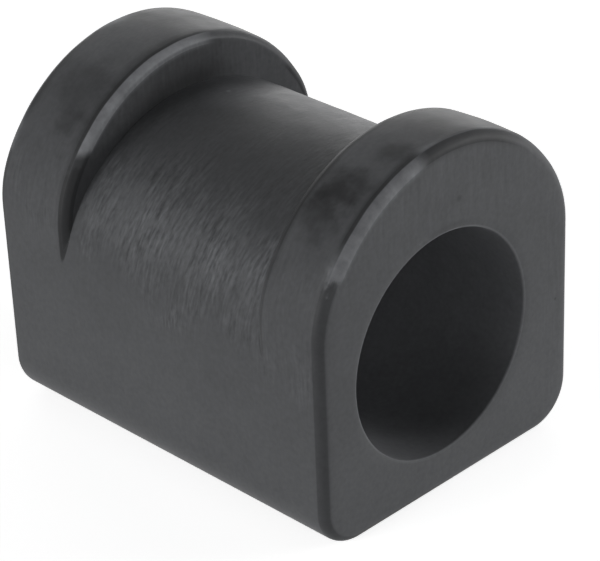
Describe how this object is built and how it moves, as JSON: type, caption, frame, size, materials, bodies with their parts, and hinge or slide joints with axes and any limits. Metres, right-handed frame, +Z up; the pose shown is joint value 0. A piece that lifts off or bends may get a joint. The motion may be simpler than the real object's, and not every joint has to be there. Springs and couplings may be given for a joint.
{
  "type": "sway bar bushing",
  "caption": "Moulded rubber D-shaped block with a full-length round bore for a sway bar, a flat base and a strap saddle between two end flanges.",
  "frame": {"origin": "on the axis of the bore, at half the block's length", "axes": "+X along the bore, towards the end with the shorter flange; +Y across; +Z up, away from the flat base"},
  "size_m": [0.0424, 0.0328, 0.035],
  "materials": {
    "rubber": "matte moulded black rubber"
  },
  "bodies": {
    "root": {"bushing": "rubber"}
  },
  "joints": []
}
